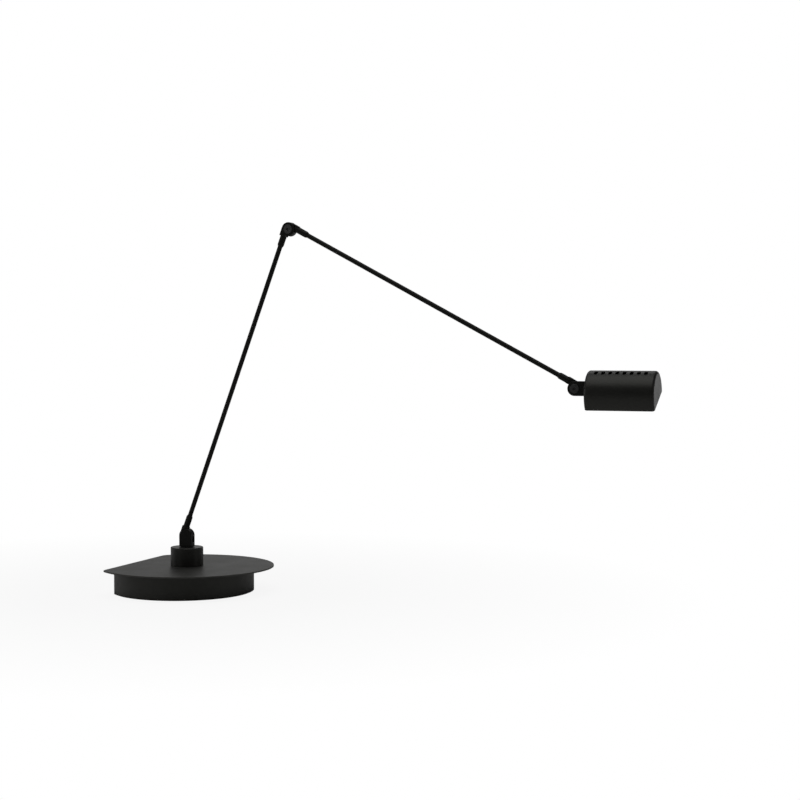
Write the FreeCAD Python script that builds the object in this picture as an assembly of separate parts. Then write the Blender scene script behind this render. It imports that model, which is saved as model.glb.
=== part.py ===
import FreeCAD, Part
import math
import os

# Two-arm desk lamp: D-shaped weighted base, swivelling fork, two slim tubular
# arms, and a short cylindrical lamp head cut flat along its opening.
# Millimetres, +Z up. The origin is on the table under the swivel axis, and the
# arms stand in the XZ plane with the head on the +X side.

# ---- driving dimensions: base ----
plate_radius = 100.0
plate_flat = 69.0            # swivel axis to the straight rear edge
plate_thick = 1.5
plate_corner = 12.0
housing_radius = 81.5
housing_shift = -5.0         # centre of the housing's arc, along X
housing_flat = 58.5          # housing's arc centre to its straight rear wall
housing_corner = 2.5
housing_wall = 2.0
base_height = 29.6           # table to the top of the plate
pad_thick = 1.5
pad_proud = 0.8              # pad below the housing's lower rim
cover_thick = 2.0
cover_inset = 0.1
base_turn = -1.8             # the base stands turned a little under the arms

# ---- driving dimensions: fixing posts, ballast and power supply in the base ----
post_radius = 4.5
post_circle = 67.5
post_angles = (62.0, 136.0)  # each on both sides
cover_screw_radius = 1.65
cover_screw_head = 3.6
cover_screw_length = 12.0
ballast_headroom = 3.1       # under the housing's roof
ballast_gap = 2.0
ballast_centre_hole = 17.0
ballast_screw_radius = 2.5
ballast_screw_head = 4.4
ballast_screw_length = 13.0
ballast_screw_y = 55.0
ballast_screw_x = -22.0
supply_length = 80.0
supply_width = 30.0
supply_headroom = 2.1
supply_front = 52.0
supply_grooves = 7
supply_ear = 6.0
supply_ear_thick = 2.5
supply_screw_radius = 1.65
pocket_gap = 2.0
rear_pocket_depth = 19.0
rear_pocket_width = 78.0

# ---- driving dimensions: rear wall fittings ----
fitting_spread = 24.0        # each side of the rear wall's middle
fitting_height = 14.5
inlet_bore = 3.3
inlet_radius = 5.5
inlet_flange = 8.0
inlet_flange_thick = 2.0
inlet_length = 9.0
inlet_nut_radius = 8.5
inlet_nut_thick = 3.0
switch_radius = 6.0
switch_flange = 8.0
switch_flange_thick = 1.2
switch_length = 13.0
button_radius = 4.5
button_proud = 3.0
button_length = 7.0
button_travel = 1.8

# ---- driving dimensions: hub and swivel ----
hub_radius = 18.7
hub_height = 21.4
hub_chamfer = 0.6
hub_screw_count = 3
hub_screw_circle = 14.0
hub_screw_radius = 2.0
hub_screw_head = 3.5
hub_screw_head_thick = 2.5
hub_screw_grip = 9.0
spindle_radius = 6.0
spindle_bore = 3.0
bush_wall = 2.0
bush_flange = 9.5
slip_washer_radius = 7.4
slip_washer_thick = 0.5
tension_washer_radius = 9.5
tension_washer_thick = 1.5
swivel_nut_flats = 17.0
swivel_nut_thick = 5.5
spindle_tail = 1.5

# ---- driving dimensions: knuckles, shared by every tilting joint ----
knuckle_radius = 7.85
knuckle_width = 9.0
tongue_thick = 3.6
friction_washer_thick = 0.4
friction_washer_radius = 7.2
pivot_screw_radius = 2.0
screw_head_radius = 5.0
screw_head_thick = 1.0
socket_flats = 3.0
socket_depth = 1.6
nut_slot = 1.2
nut_slot_depth = 0.4
shoulder_width = 6.0
shoulder_depth = 1.1         # behind the hollow that clears the fork
edge_break = 0.4
pivot_rise = 13.4            # lowest pivot above the hub

# ---- driving dimensions: arms ----
arm_length = 372.0           # pivot to pivot, both arms
tube_radius = 2.65
tube_bore = 1.85
arm_offset = 4.0             # tube axis to the line through the pivots
ferrule_radius = 3.6
ferrule_taper = 2.0
ferrule_lip = 0.15           # left round the tube at the taper's thin end
tube_socket = 9.0
tongue_reach = 23.0          # pivot to the ferrule's end, tongue side
fork_reach = 22.0            # pivot to the ferrule's end, fork side
cope_close_gap = 0.55        # ferrule hollowed this far outside the knuckle
cope_wide_gap = 2.95
lower_lean = 20.23           # from the vertical
upper_droop = 28.1           # from the horizontal

# ---- driving dimensions: lamp head ----
neck_length = 13.2           # pivot to the neck's shoulder
head_gap = 0.3
neck_spigot = 5.0
neck_bore = 2.0
neck_nut_flats = 14.0
neck_nut_thick = 4.0
neck_washer_radius = 7.5
neck_washer_thick = 1.0
head_radius = 25.75
head_length = 74.5
head_wall = 1.5
head_rounding = 3.0
neck_rise = 7.0              # neck axis above the tube's centre
opening_drop = 6.4           # tube's centre to the opening plane
head_roll = 24.8             # head turned about the neck
cap_lip = 4.0
cap_boss_radius = 8.0
cap_boss = 2.5
window_margin = 5.0
window_corner = 3.0
slot_count = 8
slot_width = 4.0
slot_length = 7.2
slot_pitch = 7.6
slot_start = 10.5            # from the head's inner end to the first slot's middle
glass_thick = 3.0
glass_overlap = 3.0
reflector_thick = 0.8
reflector_height = 17.0
reflector_flange = 2.0
reflector_start = 30.0       # from the head's inner end
holder_width = 16.0
holder_height = 13.0
holder_depth = 10.0
holder_gap = 2.9             # under the holder, over the glass
bulb_radius = 5.5
bulb_length = 26.0
bulb_neck = 3.2
bulb_neck_length = 4.0
pin_radius = 0.6
pin_length = 6.0
pin_spacing = 6.35
bracket_thick = 1.2
bracket_height = 8.0
bracket_foot = 5.0
bracket_inner_share = 0.703    # of the spare room, between the nut and the leg
bracket_screw_radius = 1.2
cap_screw_radius = 1.25
cap_screw_head = 2.4
cap_screw_length = 9.0
cap_screw_boss = 2.8
cap_screw_gap = 1.0          # screw bosses above the bracket

# ---- named clearances ----
running = 0.05               # shaft in its hole, and washer faces that slide
free_gap = 0.3               # between pieces that move past each other
fit_gap = 0.1                # round a fixed screw, bush or fitting in its hole
through = 1.0                # how far a cutting tool runs past a face
rounding_error = 1e-4
hex_sides = 6

# ---- worked-out values ----
X = FreeCAD.Vector(1, 0, 0)
Y = FreeCAD.Vector(0, 1, 0)
Z = FreeCAD.Vector(0, 0, 1)
ORIGIN = FreeCAD.Vector(0, 0, 0)

cover_bottom = pad_thick
cover_top = cover_bottom + cover_thick
rim_bottom = pad_proud
plate_bottom = base_height - plate_thick
roof_bottom = plate_bottom - housing_wall
rear_outside = housing_shift - housing_flat
rear_inside = rear_outside + housing_wall
inner_radius = housing_radius - housing_wall
inner_flat = housing_flat - housing_wall
hub_top = base_height + hub_height
pivot_height = hub_top + pivot_rise
ballast_height = roof_bottom - cover_top - ballast_headroom
supply_height = roof_bottom - cover_top - supply_headroom
bush_hole = spindle_radius + bush_wall + fit_gap
hub_screw_hole = hub_screw_radius + fit_gap
slot_gap = tongue_thick + 2 * (friction_washer_thick + running)
pivot_hole = pivot_screw_radius + running
slot_floor = knuckle_radius + free_gap
cope_close = knuckle_radius + cope_close_gap
cope_wide = knuckle_radius + cope_wide_gap
bar_inner = arm_offset - ferrule_radius
lower_turn = lower_lean - 90.0
base_pivot = FreeCAD.Vector(0, 0, pivot_height)
lean = math.radians(lower_lean)
droop = math.radians(upper_droop)
elbow_pivot = base_pivot + FreeCAD.Vector(math.sin(lean), 0, math.cos(lean)) * arm_length
head_pivot = elbow_pivot + FreeCAD.Vector(math.cos(droop), 0, -math.sin(droop)) * arm_length
head_start = neck_length + head_gap
cap_inside = head_start + head_rounding
head_end = head_start + head_length
tube_centre = -neck_rise
opening_z = tube_centre - opening_drop
inner_head = head_radius - head_wall
glass_bottom = opening_z + head_wall
glass_top = glass_bottom + glass_thick
lamp_rise = glass_top - tube_centre + holder_gap + holder_height / 2
lip_core = inner_head - running - head_wall
bracket_reach = math.sqrt(lip_core ** 2 - (lamp_rise + bracket_height / 2) ** 2)
nut_corner = neck_nut_flats / math.sqrt(3)
bracket_slack = bracket_reach - nut_corner - bracket_thick - bracket_foot
bracket_half = nut_corner + bracket_slack * bracket_inner_share + bracket_thick


# ---- shared shapes ----
def cylinder(radius, low, high, axis=Z, at=ORIGIN):
    """A cylinder round the axis through the point, from low to high along it."""
    return Part.makeCylinder(radius, high - low, at + axis * low, axis)


def ring(outer, inner, low, high, axis=Z, at=ORIGIN):
    """A flat or long ring."""
    hole = cylinder(inner, low - through, high + through, axis, at)
    return cylinder(outer, low, high, axis, at).cut(hole)


def block(low, high):
    """A box between two corners."""
    size = high - low
    return Part.makeBox(size.x, size.y, size.z, low)


def prism(points, direction):
    """A straight-sided solid on a closed outline."""
    wire = Part.makePolygon(points + points[:1])
    return Part.Face(wire).extrude(direction)


def hexagon(flats, low, high, axis=Z, at=ORIGIN):
    """A hexagonal prism of the given width across its flats."""
    side = Y if abs(axis.dot(Z)) > 0.5 or abs(axis.dot(X)) > 0.5 else X
    other = axis.cross(side)
    radius = flats / math.sqrt(3)
    corners = []
    for n in range(hex_sides):
        angle = 2 * math.pi * n / hex_sides
        across = side * math.cos(angle) + other * math.sin(angle)
        corners.append(at + axis * low + across * radius)
    return prism(corners, axis * (high - low))


def d_plate(radius, flat, low, high, shift=0.0, corner=0.0):
    """A D-shaped plate: a disc with one straight edge on its -X side."""
    half = math.sqrt(radius ** 2 - flat ** 2)
    first = FreeCAD.Vector(shift - flat, -half, low)
    middle = FreeCAD.Vector(shift + radius, 0, low)
    last = FreeCAD.Vector(shift - flat, half, low)
    arc = Part.Arc(first, middle, last).toShape()
    straight = Part.LineSegment(last, first).toShape()
    solid = Part.Face(Part.Wire([arc, straight])).extrude(Z * (high - low))
    if corner:
        upright = [e for e in solid.Edges if is_upright(e)]
        solid = solid.makeFillet(corner, upright)
    return solid


def is_upright(edge):
    """True for a straight edge along Z."""
    start = edge.Vertexes[0].Point
    end = edge.Vertexes[-1].Point
    return edge.Length > edge_break / 4 and same(abs(end.z - start.z), edge.Length)


def same(first, second):
    """True for two lengths that differ only by rounding."""
    return abs(first - second) < rounding_error


def flat_edges(solid, level, along=Z):
    """The edges that lie in one plane square to an axis."""
    found = []
    for edge in solid.Edges:
        box = edge.BoundBox
        low = FreeCAD.Vector(box.XMin, box.YMin, box.ZMin).dot(along)
        high = FreeCAD.Vector(box.XMax, box.YMax, box.ZMax).dot(along)
        if same(low, level) and same(high, level):
            found.append(edge)
    return found


def countersink(radius, head, face, axis, at):
    """A countersunk screw's head, its wide end on the face, pointing against the axis."""
    depth = head - radius
    return Part.makeCone(head, radius, depth, at + axis * face, axis)


def turned(solid, pivot, angle):
    """A piece drawn along +X round the origin, turned about Y and set on its pivot."""
    solid.rotate(ORIGIN, Y, angle)
    solid.translate(pivot)
    return solid


def in_base(solid):
    """A piece of the base, turned with it about the swivel axis."""
    solid.rotate(ORIGIN, Z, base_turn)
    return solid


def in_head(solid):
    """A piece of the head, rolled about the neck and set on the head's pivot."""
    solid.rotate(ORIGIN, X, head_roll)
    solid.translate(head_pivot)
    return solid


def save(solid, name):
    """One file for each sub-part."""
    solid.exportStep("parts/" + name + ".step")


# ---- base ----
def post_places():
    """Centres of the four posts that carry the bottom cover."""
    places = []
    for angle in post_angles:
        for side in (-1, 1):
            turn = math.radians(angle * side)
            x = housing_shift + post_circle * math.cos(turn)
            places.append(FreeCAD.Vector(x, post_circle * math.sin(turn), 0))
    return places


def ballast_screw_places():
    """The two screws that hold the ballast to the bottom cover."""
    return [FreeCAD.Vector(ballast_screw_x, side * ballast_screw_y, 0) for side in (-1, 1)]


def supply_screw_places():
    """The two screws through the ears of the power supply."""
    x = supply_front - supply_width / 2
    y = supply_length / 2 + supply_ear / 2
    return [FreeCAD.Vector(x, side * y, 0) for side in (-1, 1)]


def hub_screw_places():
    """Three screws in a circle under the hub."""
    places = []
    for n in range(hub_screw_count):
        angle = 2 * math.pi * (n + 0.5) / hub_screw_count
        place = FreeCAD.Vector(math.cos(angle), math.sin(angle), 0)
        places.append(place * hub_screw_circle)
    return places


def fitting_place(side):
    """Where a fitting's axis meets the outside of the rear wall."""
    return FreeCAD.Vector(rear_outside, side * fitting_spread, fitting_height)


def top_plate():
    """The broad thin plate on top of the housing."""
    plate = d_plate(plate_radius, plate_flat, plate_bottom, base_height, corner=plate_corner)
    plate = plate.makeFillet(edge_break, flat_edges(plate, base_height))
    low = plate_bottom - through
    plate = plate.cut(cylinder(bush_hole, low, base_height + through))
    for place in hub_screw_places():
        plate = plate.cut(cylinder(hub_screw_hole, low, base_height + through, at=place))
    return plate


def base_housing():
    """The D-shaped drum under the plate, open below, with four inner posts."""
    body = d_plate(housing_radius, housing_flat, rim_bottom, plate_bottom,
                   housing_shift, housing_corner)
    hollow = d_plate(inner_radius, inner_flat, rim_bottom - through, roof_bottom,
                     housing_shift, housing_corner)
    body = body.cut(hollow)
    for place in post_places():
        post = cylinder(post_radius, cover_top, roof_bottom, at=place)
        limit = d_plate(inner_radius, inner_flat, cover_top, roof_bottom, housing_shift)
        body = body.fuse(post.common(limit))
    for place in post_places():
        hole_top = cover_bottom + cover_screw_length
        hole = cylinder(cover_screw_radius + fit_gap, cover_top - through, hole_top, at=place)
        body = body.cut(hole)
    high = plate_bottom + through
    body = body.cut(cylinder(bush_hole, roof_bottom - through, high))
    for place in hub_screw_places():
        body = body.cut(cylinder(hub_screw_hole, roof_bottom - through, high, at=place))
    wall = housing_wall + through
    body = body.cut(cylinder(inlet_radius + fit_gap, -through, wall, X, fitting_place(-1)))
    body = body.cut(cylinder(switch_radius + fit_gap, -through, wall, X, fitting_place(1)))
    return body.removeSplitter()


def bottom_cover():
    """The steel plate that closes the housing from below."""
    cover = d_plate(inner_radius - cover_inset, inner_flat - cover_inset,
                    cover_bottom, cover_top, housing_shift, housing_corner)
    cuts = []
    for place in post_places():
        cuts.append(screw_hole(place, cover_screw_radius, cover_screw_head))
    for place in ballast_screw_places():
        cuts.append(screw_hole(place, ballast_screw_radius, ballast_screw_head))
    for place in supply_screw_places():
        cuts.append(screw_hole(place, supply_screw_radius, cover_screw_head))
    for hole in cuts:
        cover = cover.cut(hole)
    return cover


def screw_hole(place, radius, head):
    """A countersunk hole through the bottom cover."""
    hole = cylinder(radius, cover_bottom - through, cover_top + through, at=place)
    return hole.fuse(countersink(radius, head, cover_bottom, Z, place))


def sunk_screw(place, radius, head, length):
    """A countersunk screw from the cover's lower face upwards."""
    screw = cylinder(radius, cover_bottom, cover_bottom + length, at=place)
    screw = screw.fuse(countersink(radius, head, cover_bottom, Z, place))
    slot = block(FreeCAD.Vector(-head, -nut_slot / 2, -through),
                 FreeCAD.Vector(head, nut_slot / 2, nut_slot_depth))
    slot.translate(place + Z * cover_bottom)
    return screw.cut(slot)


def foot_pad():
    """The non-slip pad that the lamp stands on."""
    return d_plate(inner_radius - cover_inset, inner_flat - cover_inset,
                   0, pad_thick, housing_shift, housing_corner)


def supply_block(grow):
    """The outline of the power supply, grown by a gap."""
    low = FreeCAD.Vector(supply_front - supply_width - grow, -supply_length / 2 - grow, cover_top)
    high = FreeCAD.Vector(supply_front + grow, supply_length / 2 + grow,
                          cover_top + supply_height)
    return block(low, high)


def power_supply():
    """A slim closed supply with a fixing ear at each end and cooling ribs on top."""
    body = supply_block(0)
    body = body.makeFillet(pad_thick, [e for e in body.Edges if is_upright(e)])
    centre_x = supply_front - supply_width / 2
    reach = supply_length / 2 + supply_ear
    ears = block(FreeCAD.Vector(centre_x - supply_ear, -reach, cover_top),
                 FreeCAD.Vector(centre_x + supply_ear, reach, cover_top + supply_ear_thick))
    body = body.fuse(ears)
    top = cover_top + supply_height
    pitch = supply_length / (supply_grooves + 2)
    side = (supply_grooves - 1) // 2
    for n in range(-side, side + 1):
        low = FreeCAD.Vector(supply_front - supply_width - through, n * pitch - pitch / 4,
                             top - supply_ear_thick)
        high = FreeCAD.Vector(supply_front + through, n * pitch + pitch / 4, top + through)
        body = body.cut(block(low, high))
    for place in supply_screw_places():
        body = body.cut(cylinder(supply_screw_radius, cover_top - through, top, at=place))
    return body


def ballast():
    """The cast weight, cut clear of the posts, swivel, supply and rear fittings."""
    top = cover_top + ballast_height
    weight = d_plate(inner_radius - ballast_gap, inner_flat - ballast_gap,
                     cover_top, top, housing_shift, housing_corner)
    weight = weight.cut(cylinder(ballast_centre_hole, 0, base_height))
    for place in post_places():
        weight = weight.cut(cylinder(post_radius + pocket_gap, 0, base_height, at=place))
    weight = weight.cut(supply_block(pocket_gap))
    ear_reach = supply_length / 2 + supply_ear + pocket_gap
    centre_x = supply_front - supply_width / 2
    ear_half = supply_ear + pocket_gap
    weight = weight.cut(block(FreeCAD.Vector(centre_x - ear_half, -ear_reach, 0),
                              FreeCAD.Vector(centre_x + ear_half, ear_reach, base_height)))
    weight = weight.cut(block(FreeCAD.Vector(rear_outside, -rear_pocket_width / 2, 0),
                              FreeCAD.Vector(rear_inside + rear_pocket_depth,
                                             rear_pocket_width / 2, base_height)))
    for place in ballast_screw_places():
        depth = cover_bottom + ballast_screw_length
        weight = weight.cut(cylinder(ballast_screw_radius + fit_gap, 0, depth, at=place))
    return weight


def cord_inlet():
    """The flanged bush in the rear wall that the supply cord enters by."""
    at = fitting_place(-1)
    bush = cylinder(inlet_radius, 0, inlet_length, X, at)
    flange = cylinder(inlet_flange, -inlet_flange_thick, 0, X, at)
    outer = flat_edges(flange, at.x - inlet_flange_thick, X)
    flange = flange.makeFillet(inlet_flange_thick / 2, outer)
    bore = cylinder(inlet_bore, -inlet_flange_thick - through, inlet_length + through, X, at)
    return bush.fuse(flange).cut(bore).removeSplitter()


def inlet_nut():
    """The nut that holds the inlet bush from inside."""
    nut = hexagon(2 * inlet_nut_radius, housing_wall, housing_wall + inlet_nut_thick, X,
                  fitting_place(-1))
    return nut.cut(cylinder(inlet_radius, 0, inlet_length, X, fitting_place(-1)))


def power_switch():
    """The body of the push switch, with the well that its button moves in."""
    at = fitting_place(1)
    body = cylinder(switch_radius, 0, switch_length, X, at)
    body = body.fuse(cylinder(switch_flange, -switch_flange_thick, 0, X, at))
    well_floor = button_start() + button_length + button_travel + free_gap
    well = cylinder(button_radius + running, -switch_flange_thick - through, well_floor, X, at)
    return body.cut(well).removeSplitter()


def switch_nut():
    """The nut that holds the switch from inside."""
    nut = hexagon(2 * inlet_nut_radius, housing_wall, housing_wall + inlet_nut_thick, X,
                  fitting_place(1))
    return nut.cut(cylinder(switch_radius, 0, switch_length, X, fitting_place(1)))


def switch_button():
    """The round button, standing proud of the switch's flange."""
    at = fitting_place(1)
    outer = button_start()
    button = cylinder(button_radius, outer, outer + button_length, X, at)
    return button.makeFillet(edge_break * 2, flat_edges(button, at.x + outer, X))


def button_start():
    """The button's outer face, from the outside of the wall."""
    return -switch_flange_thick - button_proud


# ---- hub and swivel ----
def hub_collar():
    """The turned hub on the plate that the fork's spindle turns in."""
    hub = cylinder(hub_radius, base_height, hub_top)
    hub = hub.makeChamfer(hub_chamfer, flat_edges(hub, hub_top))
    hub = hub.cut(cylinder(spindle_radius + bush_wall, base_height - through, hub_top + through))
    for place in hub_screw_places():
        top = base_height + hub_screw_grip
        hub = hub.cut(cylinder(hub_screw_hole, base_height - through, top, at=place))
    return hub


def hub_bush():
    """The plain bearing through the hub, with a flange under the roof of the housing."""
    outer = spindle_radius + bush_wall
    inner = spindle_radius + running
    bush = ring(outer, inner, roof_bottom, hub_top)
    flange = ring(bush_flange, inner, roof_bottom - slip_washer_thick, roof_bottom)
    return bush.fuse(flange).removeSplitter()


def hub_screws():
    """Three screws from inside the housing, up into the hub."""
    screws = []
    for place in hub_screw_places():
        shank = cylinder(hub_screw_radius, roof_bottom, base_height + hub_screw_grip, at=place)
        low = roof_bottom - hub_screw_head_thick
        head = cylinder(hub_screw_head, low, roof_bottom, at=place)
        socket = hexagon(socket_flats, low - through, low + socket_depth, at=place)
        screws.append(shank.fuse(head).cut(socket))
    return Part.makeCompound(screws)


def slip_washer():
    """The thin washer that the fork turns on."""
    return ring(slip_washer_radius, spindle_radius + running, hub_top,
                hub_top + slip_washer_thick)


def base_fork():
    """The forked bar over the hub, with its hollow spindle down into the base."""
    low = hub_top + slip_washer_thick + running - pivot_height
    bar = forked_bar(-low)
    bar.rotate(ORIGIN, Y, 90)
    bar.translate(base_pivot)
    tail = tension_washer_top() - tension_washer_thick - swivel_nut_thick - spindle_tail
    spindle = cylinder(spindle_radius, tail, pivot_height + low)
    bar = bar.fuse(spindle)
    bar = bar.cut(cylinder(spindle_bore, tail - through, pivot_height))
    return bar.removeSplitter()


def tension_washer_top():
    """Just under the bush's flange."""
    return roof_bottom - slip_washer_thick - running


def tension_washer():
    """The spring washer that holds the swivel by friction."""
    top = tension_washer_top()
    return ring(tension_washer_radius, spindle_radius + running, top - tension_washer_thick, top)


def swivel_nut():
    """The nut on the spindle's end."""
    top = tension_washer_top() - tension_washer_thick
    nut = hexagon(swivel_nut_flats, top - swivel_nut_thick, top)
    return nut.cut(cylinder(spindle_radius + running, 0, base_height))


# ---- knuckles: drawn round the origin, pivot along Y, the piece running along +X ----
def forked_bar(length):
    """A flat-sided bar, rounded round its pivot and slotted for a tongue."""
    half = knuckle_width / 2
    bar = cylinder(knuckle_radius, -half, half, Y)
    bar = bar.fuse(block(FreeCAD.Vector(0, -half, -knuckle_radius),
                         FreeCAD.Vector(length, half, knuckle_radius)))
    bar = bar.removeSplitter()
    rims = flat_edges(bar, -half, Y) + flat_edges(bar, half, Y)
    bar = bar.makeChamfer(edge_break, rims)
    return slotted(bar, slot_floor)


def slotted(bar, floor):
    """The slot for a tongue and the hole for its screw."""
    half = slot_gap / 2
    slot = block(FreeCAD.Vector(-knuckle_radius - through, -half, -knuckle_radius - through),
                 FreeCAD.Vector(floor, half, knuckle_radius + through))
    hole = cylinder(pivot_screw_radius, -knuckle_width, knuckle_width, Y)
    return bar.cut(slot).cut(hole)


def keyhole(end, width):
    """A knuckle's disc and the bar that runs from it, flush with its outer side."""
    half = width / 2
    disc = cylinder(knuckle_radius, -half, half, Y)
    bar = block(FreeCAD.Vector(0, -half, bar_inner), FreeCAD.Vector(end, half, knuckle_radius))
    return disc.fuse(bar).removeSplitter()


def ferrule(start, end):
    """The socket that an arm's tube is fixed in, tapered at its open end."""
    at = Z * arm_offset
    body = cylinder(ferrule_radius, start, end - ferrule_taper, X, at)
    taper = Part.makeCone(ferrule_radius, tube_radius + ferrule_lip, ferrule_taper,
                          at + X * (end - ferrule_taper), X)
    return body.fuse(taper).removeSplitter()


def tube_hole(end):
    """The hole for the tube, from the ferrule's end inwards."""
    return cylinder(tube_radius, end - tube_socket, end + through, X, Z * arm_offset)


def arm_fork():
    """The forked end of an arm: two cheeks whose bars end in a shoulder at the ferrule."""
    cheeks = keyhole(cope_close + shoulder_depth, knuckle_width)
    half = knuckle_width / 2
    rims = flat_edges(cheeks, -half, Y) + flat_edges(cheeks, half, Y)
    cheeks = cheeks.makeChamfer(edge_break, rims)
    cheeks = slotted(cheeks, slot_floor)
    fork = cheeks.fuse(ferrule(slot_floor + edge_break, fork_reach))
    return fork.cut(tube_hole(fork_reach)).removeSplitter()


def arm_tongue(cope):
    """The tongue at an arm's end, its shoulder and ferrule hollowed clear of the fork."""
    shoulder = cope + shoulder_depth
    half = shoulder_width / 2
    root = block(FreeCAD.Vector(bar_inner, -half, bar_inner),
                 FreeCAD.Vector(shoulder, half, knuckle_radius))
    root = root.fuse(ferrule(knuckle_radius / 2, tongue_reach))
    root = root.cut(cylinder(cope, -knuckle_width, knuckle_width, Y))
    piece = root.fuse(keyhole(shoulder, tongue_thick))
    piece = piece.cut(cylinder(pivot_hole, -knuckle_width, knuckle_width, Y))
    return piece.cut(tube_hole(tongue_reach)).removeSplitter()


def arm_tube(start, end):
    """A plain tube between two ferrules."""
    return ring(tube_radius, tube_bore, start, end, X, Z * arm_offset)


def friction_washers():
    """A washer in each side of a fork's slot."""
    gap = slot_gap / 2
    pair = []
    for side in (-1, 1):
        low = min(side * gap, side * (gap - friction_washer_thick))
        pair.append(ring(friction_washer_radius, pivot_screw_radius, low,
                         low + friction_washer_thick, Y))
    return Part.makeCompound(pair)


def pivot_screw(tip):
    """A flat round-headed socket screw on the -Y side, its shank ending at the tip."""
    face = -knuckle_width / 2
    shank = cylinder(pivot_screw_radius, face, tip, Y)
    head = cylinder(screw_head_radius, face - screw_head_thick, face, Y)
    rim = flat_edges(head, face - screw_head_thick, Y)
    head = head.makeChamfer(edge_break / 2, rim)
    top = face - screw_head_thick
    socket = hexagon(socket_flats, top - through, top + socket_depth, Y)
    return shank.fuse(head).cut(socket).removeSplitter()


def pivot_nut():
    """The round slotted nut on the +Y side."""
    face = knuckle_width / 2
    nut = cylinder(screw_head_radius, face, face + screw_head_thick, Y)
    nut = nut.makeChamfer(edge_break / 2, flat_edges(nut, face + screw_head_thick, Y))
    nut = nut.cut(cylinder(pivot_screw_radius, face - through, nut_tip(), Y))
    top = face + screw_head_thick
    slot = block(FreeCAD.Vector(-screw_head_radius, top - nut_slot_depth, -nut_slot / 2),
                 FreeCAD.Vector(screw_head_radius, top + through, nut_slot / 2))
    return nut.cut(slot)


def nut_tip():
    """How far a screw's tip reaches into its nut."""
    return knuckle_width / 2 + screw_head_thick - nut_slot_depth - running * 2


def base_pivot_screw():
    """The base fork's screw, put in from the rear so that the front cheek stays plain."""
    cheek = (knuckle_width - slot_gap) / 2
    screw = pivot_screw(knuckle_width / 2 - cheek / 2)
    screw.rotate(ORIGIN, Z, 180)
    return screw


def base_fork_with_blind_hole():
    """The base fork, its front cheek closed again outside the screw's tip."""
    cheek = (knuckle_width - slot_gap) / 2
    plug = cylinder(pivot_screw_radius, -knuckle_width / 2, -knuckle_width / 2 + cheek / 2, Y)
    plug.translate(base_pivot)
    return base_fork().fuse(plug).removeSplitter()


# ---- lamp head: drawn with the neck along +X and the opening facing -Z ----
def head_neck():
    """The forked neck and the spigot that the head rolls on."""
    neck = forked_bar(neck_length)
    neck = neck.fuse(cylinder(neck_spigot, neck_length, neck_tip(), X))
    bore = cylinder(neck_bore, slot_floor - through, neck_tip() + through, X)
    return neck.cut(bore).removeSplitter()


def neck_washer_start():
    """The inner face of the cap's boss, plus the running gap."""
    return cap_inside + cap_boss + running


def neck_tip():
    """The spigot's end, just past its nut."""
    return neck_washer_start() + neck_washer_thick + neck_nut_thick + spindle_tail


def neck_washer():
    """The washer between the cap's boss and the neck's nut."""
    start = neck_washer_start()
    return ring(neck_washer_radius, neck_spigot + running, start, start + neck_washer_thick, X)


def neck_nut():
    """The nut that holds the head on its neck."""
    start = neck_washer_start() + neck_washer_thick
    nut = hexagon(neck_nut_flats, start, start + neck_nut_thick, X)
    return nut.cut(cylinder(neck_spigot + running, start - through, neck_tip(), X))


def drum(radius, start, end, floor):
    """A cylinder along X round the tube's centre, cut flat at the given height."""
    at = Z * tube_centre
    body = cylinder(radius, start, end, X, at)
    below = block(FreeCAD.Vector(start - through, -radius - through, floor - 2 * radius),
                  FreeCAD.Vector(end + through, radius + through, floor))
    return body.cut(below)


def rounded_drum():
    """The head's whole outer form: round-edged at both ends, cut flat at the opening."""
    body = cylinder(head_radius, head_start, head_end, X, Z * tube_centre)
    rims = flat_edges(body, head_start, X) + flat_edges(body, head_end, X)
    body = body.makeFillet(head_rounding, rims)
    below = block(FreeCAD.Vector(0, -2 * head_radius, opening_z - 2 * head_radius),
                  FreeCAD.Vector(head_end + through, 2 * head_radius, opening_z))
    return body.cut(below)


def slice_along(solid, start, end):
    """The part of a solid between two planes square to X."""
    half = 2 * head_radius
    return solid.common(block(FreeCAD.Vector(start, -half, -2 * half),
                              FreeCAD.Vector(end, half, half)))


def cap_screw_places():
    """Two screws through the inner cap, near the rim."""
    places = []
    reach = inner_head - cap_screw_boss / 2
    rise = lamp_rise + bracket_height / 2 + cap_screw_gap + cap_screw_boss
    spread = math.sqrt(reach ** 2 - rise ** 2)
    for side in (-1, 1):
        places.append(FreeCAD.Vector(0, side * spread, tube_centre + rise))
    return places


def vent_slot():
    """One round-ended vent slot across the top of the shell."""
    straight = slot_length / 2 - slot_width / 2
    low = tube_centre + head_radius / 2
    high = head_radius + through
    slot = block(FreeCAD.Vector(-slot_width / 2, -straight, low),
                 FreeCAD.Vector(slot_width / 2, straight, high))
    for side in (-1, 1):
        slot = slot.fuse(cylinder(slot_width / 2, low, high, at=Y * (side * straight)))
    return slot.removeSplitter()


def head_window(margin):
    """The rectangle in the opening plane that the light leaves by."""
    half = math.sqrt(head_radius ** 2 - opening_drop ** 2) - margin
    low = FreeCAD.Vector(cap_inside + cap_lip + margin, -half, opening_z - through)
    high = FreeCAD.Vector(head_end - head_rounding - margin / 2, half, glass_bottom + through)
    window = block(low, high)
    return window.makeFillet(window_corner, [e for e in window.Edges if is_upright(e)])


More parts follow.
